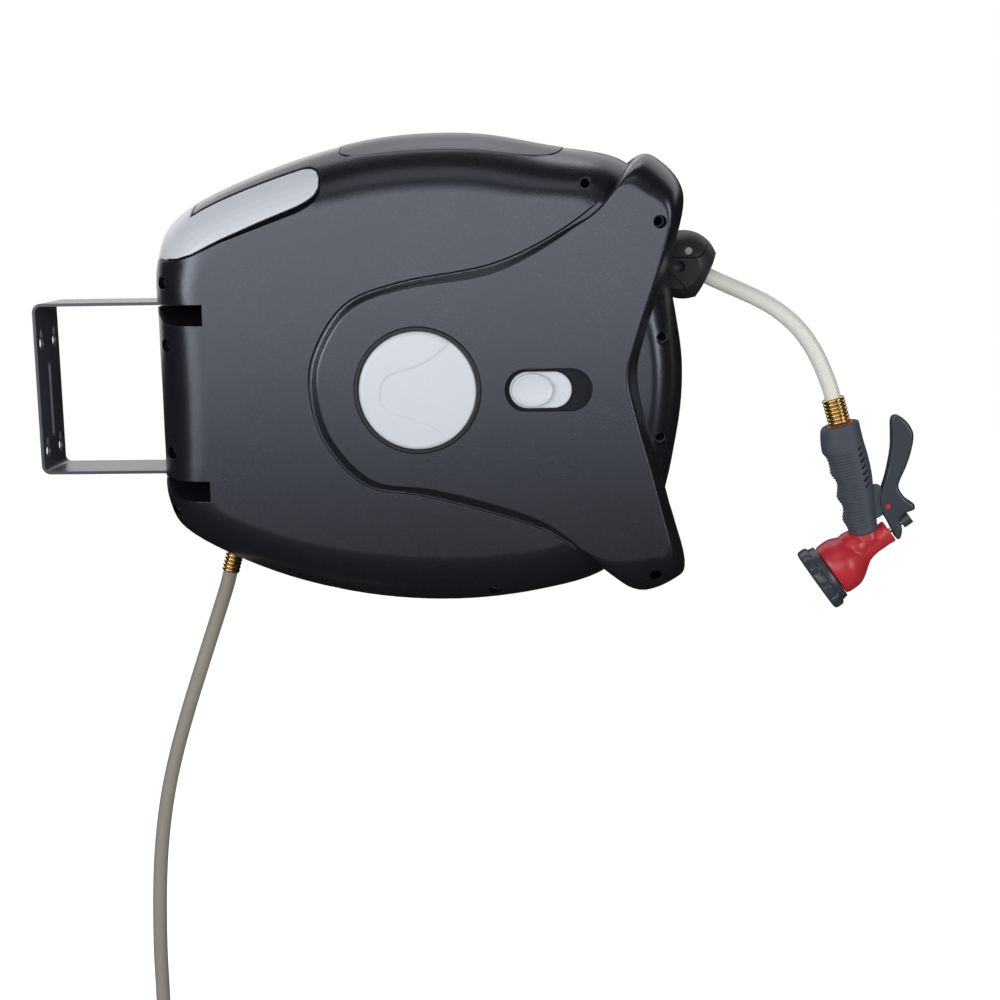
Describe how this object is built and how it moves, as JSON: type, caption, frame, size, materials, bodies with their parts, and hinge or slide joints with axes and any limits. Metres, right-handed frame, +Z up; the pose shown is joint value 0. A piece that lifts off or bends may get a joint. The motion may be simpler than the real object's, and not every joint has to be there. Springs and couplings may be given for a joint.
{
  "type": "retractable garden hose reel",
  "caption": "Wall-mounted retractable hose reel: swivel bracket, rounded two-half casing, sprung drum with lock, carrying handle, guide rollers, hose stop, trigger spray gun and inlet hose.",
  "frame": {"origin": "centre of the four screw holes, in the plane of the wall behind the bracket", "axes": "+X out of the wall towards the hose outlet, +Z up, -Y the side with the hub cap and the lock"},
  "size_m": [0.8706, 0.2364, 1.1451],
  "materials": {
    "casing_plastic": "fine satin texture",
    "light_plastic": "satin",
    "black_plastic": "satin",
    "natural_plastic": "smooth",
    "bracket_paint": "satin powder coat",
    "steel": "plain",
    "dark_screw": "blackened",
    "brass": "polished",
    "seal_rubber": "plain",
    "washer_rubber": "plain",
    "hose_plastic": "smooth, soft",
    "inlet_plastic": "smooth, soft",
    "grip_rubber": "matt",
    "gun_red": "glossy",
    "gun_plastic": "satin",
    "spray_plate": "satin"
  },
  "bodies": {
    "bracket": {"wall_bracket": "bracket_paint", "pivot_bushes": "black_plastic"},
    "reel_casing": {"pivot_pins": "steel", "near_casing": "casing_plastic", "far_casing": "casing_plastic", "casing_screws": "dark_screw", "top_panel": "casing_plastic", "hub_ring": "black_plastic", "hub_cap": "light_plastic", "handle_pins": "steel", "pawl_pin": "steel", "pawl_spring": "steel", "drum_axle": "steel", "axle_nut": "steel", "swivel_body": "brass", "swivel_seals": "seal_rubber", "outlet_frame": "black_plastic", "roller_pins": "steel", "leader_hose": "hose_plastic", "stop_ball": "black_plastic", "stop_ball_clamp": "black_plastic", "stop_ball_screw": "steel", "hose_ferrule": "brass", "hose_washer": "washer_rubber", "gun_body": "gun_red", "gun_grip": "grip_rubber", "trigger_pin": "gun_red", "inlet_pipe": "inlet_plastic", "inlet_gland": "brass", "inlet_ferrule": "brass", "inlet_hose": "inlet_plastic", "inlet_coil": "inlet_plastic", "coil_tie": "black_plastic", "tap_connector": "brass"},
    "handle": {"carry_handle": "light_plastic"},
    "slider": {"lock_slider": "light_plastic", "slider_link": "black_plastic"},
    "pawl": {"pawl": "steel"},
    "drum": {"drum_core": "black_plastic", "near_flange": "black_plastic", "far_flange": "black_plastic", "flange_screws": "steel", "ratchet_wheel": "steel", "drum_bush": "natural_plastic", "mainspring": "steel", "spring_cover": "black_plastic", "swivel_sleeve": "brass", "hose_tail": "brass", "hose_inner_layers": "hose_plastic", "hose_outer_layer": "hose_plastic"},
    "top_roller": {"roller_top": "black_plastic"},
    "bottom_roller": {"roller_bottom": "black_plastic"},
    "near_roller": {"roller_near": "black_plastic"},
    "far_roller": {"roller_far": "black_plastic"},
    "trigger": {"gun_trigger": "gun_plastic"},
    "valve": {"valve_stem": "steel", "flow_knob": "gun_plastic"},
    "dial": {"gun_dial": "gun_plastic", "dial_face": "spray_plate"}
  },
  "joints": [
    {"name": "reel_swing", "type": "hinge", "parent": "bracket", "child": "reel_casing", "pos_m": [0.147, 0, 0], "axis": [0, 0, 1], "range_deg": [-90, 90]},
    {"name": "handle_fold", "type": "hinge", "parent": "reel_casing", "child": "handle", "pos_m": [0.282, 0, 0.203], "axis": [0, 1, 0], "range_deg": [0, 90]},
    {"name": "lock_slide", "type": "slide", "parent": "reel_casing", "child": "slider", "axis": [1, 0, 0], "range_m": [0, 0.019]},
    {"name": "pawl_lift", "type": "hinge", "parent": "reel_casing", "child": "pawl", "pos_m": [0.484, -0.085, 0.059], "axis": [0, -1, 0], "range_deg": [0, 19]},
    {"name": "drum_spin", "type": "hinge", "parent": "reel_casing", "child": "drum", "pos_m": [0.386, 0, 0.013], "axis": [0, 1, 0], "continuous": true},
    {"name": "top_roller_spin", "type": "hinge", "parent": "reel_casing", "child": "top_roller", "pos_m": [0.581, 0, 0.16236], "axis": [0, 1, 0], "continuous": true},
    {"name": "bottom_roller_spin", "type": "hinge", "parent": "reel_casing", "child": "bottom_roller", "pos_m": [0.581, 0, 0.12964], "axis": [0, 1, 0], "continuous": true},
    {"name": "near_roller_spin", "type": "hinge", "parent": "reel_casing", "child": "near_roller", "pos_m": [0.5938, -0.016, 0.144], "axis": [0, 0, 1], "continuous": true},
    {"name": "far_roller_spin", "type": "hinge", "parent": "reel_casing", "child": "far_roller", "pos_m": [0.5938, 0.016, 0.144], "axis": [0, 0, 1], "continuous": true},
    {"name": "trigger_pull", "type": "hinge", "parent": "reel_casing", "child": "trigger", "pos_m": [0.8437, 0, -0.121], "axis": [0, -1, 0], "range_deg": [0, 16], "stiffness_Nm_per_rad": 0.6, "springref_deg": -14.32},
    {"name": "valve_slide", "type": "slide", "parent": "reel_casing", "child": "valve", "axis": [0.8141, 0, 0.5807], "range_m": [0, 0.0072]},
    {"name": "dial_turn", "type": "hinge", "parent": "reel_casing", "child": "dial", "pos_m": [0.7745, 0, -0.199], "axis": [0.8141, 0, 0.5807], "continuous": true}
  ],
  "couplings": [
    {"joint": "pawl_lift", "follows": "lock_slide", "rad_per_m": 16.957},
    {"joint": "valve_slide", "follows": "trigger_pull", "m_per_rad": 0.0251}
  ]
}
